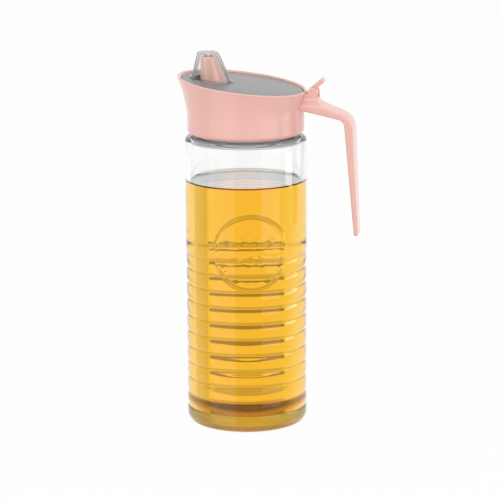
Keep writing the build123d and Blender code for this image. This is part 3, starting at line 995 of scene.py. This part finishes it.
class CRUET_OT_spout_hood(bpy.types.Operator):
    """Make the clear hood over the nozzle"""

    bl_idname = "cruet.spout_hood"
    bl_label = "Spout Hood"

    def execute(self, context):
        s = context.scene.cruet_closure
        foot, top_x = -s.hood_x, -s.hood_x - s.hood_lean
        inner, inner_top = s.hood_radius - s.hood_wall, s.hood_top - s.hood_wall
        ceiling = s.hood_height - s.hood_wall
        base = rim_z(s, foot, s.recess)
        foot_depth, ring_depth, edge, dip = 1.1 * MM, 1.2 * MM, MM, 0.25 * MM
        flange = s.hood_radius + 1.2 * MM
        drops = [(foot_depth, inner), (foot_depth, s.hood_radius), (0.02 * MM, s.hood_radius)]
        drops += [(0.0, flange - 0.1 * MM), (-0.1 * MM, flange), (-0.55 * MM, flange)]
        drops += [(-0.75 * MM, flange - 0.15 * MM), (-0.8 * MM, flange - 0.5 * MM)]
        outside = [(foot, rim_z(s, foot, s.recess + drop), radius, s.rim_tilt) for drop, radius in drops]
        low, high = (foot, base, s.hood_radius, s.rim_tilt), (top_x, s.hood_height, s.hood_top, 0.0)
        first, last = 1.3 * MM / (s.hood_height - base), 0.955
        outside += [part_way(low, high, first + (last - first) * i / 9) for i in range(10)]
        crown = s.hood_height - edge
        for t in sweep(15, 90, 6)[1:]:
            outside.append((top_x, crown + edge * math.sin(t), s.hood_top - edge + edge * math.cos(t), 0.0))
        dimple = s.hood_height - dip
        top = [(4.6 * MM, s.hood_height), (4.3 * MM, dimple), (2.0 * MM, dimple), (0.0, dimple)]
        outside += upright(top, top_x)
        plug_low = ceiling - ring_depth
        ring = [(0.0, ceiling), (s.plug - MM, ceiling), (s.plug - 0.9 * MM, plug_low)]
        ring += [(s.plug - 0.1 * MM, plug_low), (s.plug, ceiling), (inner_top - 0.5 * MM, ceiling)]
        inside = upright(ring, top_x)
        low, high = (foot, base, inner, s.rim_tilt), (top_x, ceiling, inner_top, 0.0)
        inside += [part_way(low, high, 0.97 * (1 - i / 9)) for i in range(10)]
        piece = skin("clear_hood", inside + outside, even_angles(120), closed=False)
        dress(piece, "spout_hood", "lid", "clear_plastic", context, hard=42.0)
        return {"FINISHED"}


class CRUET_OT_handle(bpy.types.Operator):
    """Make the handle with the two ears of the hinge"""

    bl_idname = "cruet.handle"
    bl_label = "Handle"

    def execute(self, context):
        piece = merged_copy("handle", "side_handle")
        dress(piece, "handle", "closure", "pink_plastic", context, hard=32.0)
        return {"FINISHED"}


class CRUET_OT_lever(bpy.types.Operator):
    """Make the thumb lever and the hinge pin"""

    bl_idname = "cruet.lever"
    bl_label = "Lever and Pin"

    def execute(self, context):
        piece = merged_copy("lever", "thumb_lever")
        dress(piece, "lever", "lid", "pink_plastic", context, hard=32.0)
        piece = merged_copy("hinge_pin", "hinge_rod")
        dress(piece, "hinge_pin", "closure", "pin_steel", context, hard=32.0)
        return {"FINISHED"}


# Stage


class CRUET_OT_stage(bpy.types.Operator):
    """Set up the camera, the pale floor and the soft light"""

    bl_idname = "cruet.stage"
    bl_label = "Stage"

    def execute(self, context):
        s = context.scene.cruet_stage
        self.place_camera(context, s)
        self.lay_floor()
        self.light_world(context, s)
        self.hang_lamps(s)
        context.scene.view_settings.view_transform = "Standard"
        return {"FINISHED"}

    def place_camera(self, context, s):
        """Camera turned by the azimuth and elevation, looking at the height that it aims at."""
        flat = math.cos(s.elevation)
        ahead = Vector((-math.sin(s.azimuth) * flat, math.cos(s.azimuth) * flat, -math.sin(s.elevation)))
        data = bpy.data.cameras.new("camera")
        data.lens = s.lens
        data.sensor_width = 36.0
        data.shift_x = s.shift
        camera = new_object("camera", data)
        camera.location = Vector((0.0, 0.0, s.aim)) - ahead * s.distance
        camera.rotation_mode = "QUATERNION"
        camera.rotation_quaternion = ahead.to_track_quat("-Z", "Y") @ Quaternion((0.0, 0.0, 1.0), -s.roll)
        context.scene.camera = camera

    def lay_floor(self):
        """Floor that the camera sees almost white, and that reflections and refractions leave out."""
        drop, grey, glowing = 0.2 * MM, (0.85, 0.85, 0.85), 0.97
        builder = bmesh.new()
        bmesh.ops.create_grid(builder, x_segments=1, y_segments=1, size=6.0)
        floor = to_object("floor", builder)
        floor.location.z = -drop
        floor.visible_glossy = False
        floor.visible_transmission = False
        material, graph = new_material("pale_floor")
        seen = Value(graph, graph.add("ShaderNodeLightPath").outputs["Is Camera Ray"])
        matte = graph.add("ShaderNodeBsdfDiffuse", {"Color": grey}).outputs[0]
        glow = graph.add("ShaderNodeEmission", {"Color": CLEAR, "Strength": 1.0}).outputs[0]
        graph.finish(graph.mix_shaders(seen * glowing, matte, glow))
        floor.data.materials.append(material)

    def light_world(self, context, s):
        """Even light, with brighter reflections from beyond and dark strips seen through the glass."""
        low_fade, low_dark, low_dark_behind = (-0.300, -0.290), 0.12, 0.2
        side_band, side_dark, half_spread, soft = (0.53, 1.0), 0.2, 0.5, 0.02
        mirrored_near, mirrored_far = 0.4, 1.2
        world = bpy.data.worlds.new("pale_room")
        world.use_nodes = True
        context.scene.world = world
        graph = Graph(world.node_tree)
        rays = graph.add("ShaderNodeLightPath").outputs
        x, y, z = graph.axes(graph.add("ShaderNodeTexCoord").outputs["Generated"])
        across = x * math.cos(s.azimuth) + y * math.sin(s.azimuth)
        beyond = y * math.cos(s.azimuth) - x * math.sin(s.azimuth)
        behind = (across.math("ABSOLUTE", across) - beyond * half_spread).ease(-soft, soft, 1.0, 0.0)
        below = z.ease(*low_fade, 1.0, 0.0) * (behind * low_dark_behind + low_dark)
        aside = (across / beyond.math("MAXIMUM", beyond, 0.01)).between(*side_band) * side_dark
        strip = below + aside
        for start, full, fading, end, dark in (TABLE_EDGE, HORIZON):
            strip += z.ease(start, full) * z.ease(fading, end, 1.0, 0.0) * behind * dark
        through = Value(graph, rays["Is Transmission Ray"])
        glossy = Value(graph, rays["Is Glossy Ray"]) * (1.0 - through)
        camera = Value(graph, rays["Is Camera Ray"])
        mirrored = beyond.ease(-0.3, 0.4, mirrored_near, mirrored_far)
        plain = camera * (1.0 - s.ambient) + glossy * (mirrored - s.ambient) + s.ambient
        strength = plain + through * (1.0 - s.ambient - strip)
        light = graph.add("ShaderNodeBackground", {"Color": CLEAR, "Strength": strength})
        graph.add("ShaderNodeOutputWorld", {"Surface": light.outputs[0]})

    def hang_lamps(self, s):
        """Soft panels, each with its turn from the camera, distance, size, height, aim's height and watts."""
        rows = [
            ("left_panel", -47.0, 0.75, (0.72, 1.7), 0.3, 0.3, 3.1),
            ("front_panel", 46.0, 0.75, (0.50, 1.2), 0.55, 0.55, 1.9),
            ("right_panel", 93.0, 0.7, (0.40, 0.05), 0.066, 0.066, 0.24),
            ("top_panel", 0.0, 0.6, (0.6, 0.6), 1.1, 0.15, 2.4),
        ]
        for name, turn, distance, size, middle, aim_height, power in rows:
            data = bpy.data.lights.new(name, "AREA")
            data.shape = "RECTANGLE"
            data.size, data.size_y = size
            data.energy = power
            lamp = new_object(name, data)
            way = s.azimuth + math.radians(turn)
            lamp.location = (distance * math.sin(way), -distance * math.cos(way), middle)
            aim = Vector((0.0, 0.0, aim_height)) - lamp.location
            lamp.rotation_euler = aim.to_track_quat("-Z", "Y").to_euler()
            lamp.visible_camera = False
            lamp.visible_transmission = False


# Panel


OPERATORS = [
    CRUET_OT_stage,
    CRUET_OT_glass_bottle,
    CRUET_OT_oil,
    CRUET_OT_neck_seal,
    CRUET_OT_collar,
    CRUET_OT_inner_cap,
    CRUET_OT_handle,
    CRUET_OT_lid_plate,
    CRUET_OT_spout_hood,
    CRUET_OT_lever,
]


class CRUET_PT_panel(bpy.types.Panel):
    """Lists the sizes, the colours and the pieces."""

    bl_label = "Oil Cruet"
    bl_space_type = "VIEW_3D"
    bl_region_type = "UI"
    bl_category = "Cruet"

    def draw(self, context):
        for name, group in SETTINGS.items():
            box = self.layout.box()
            box.label(text=group.__doc__)
            for key in group.__annotations__:
                box.prop(getattr(context.scene, name), key)
        for operator in OPERATORS:
            self.layout.operator(operator.bl_idname)


def register():
    for group in SETTINGS.values():
        bpy.utils.register_class(group)
    for operator in OPERATORS:
        bpy.utils.register_class(operator)
    bpy.utils.register_class(CRUET_PT_panel)
    for name, group in SETTINGS.items():
        setattr(bpy.types.Scene, name, bpy.props.PointerProperty(type=group))


def unregister():
    for name in SETTINGS:
        delattr(bpy.types.Scene, name)
    bpy.utils.unregister_class(CRUET_PT_panel)
    for group in [*OPERATORS, *SETTINGS.values()]:
        bpy.utils.unregister_class(group)


def main():
    register()
    for operator in OPERATORS:
        group, name = operator.bl_idname.split(".")
        getattr(getattr(bpy.ops, group), name)()


if __name__ == "__main__":
    main()
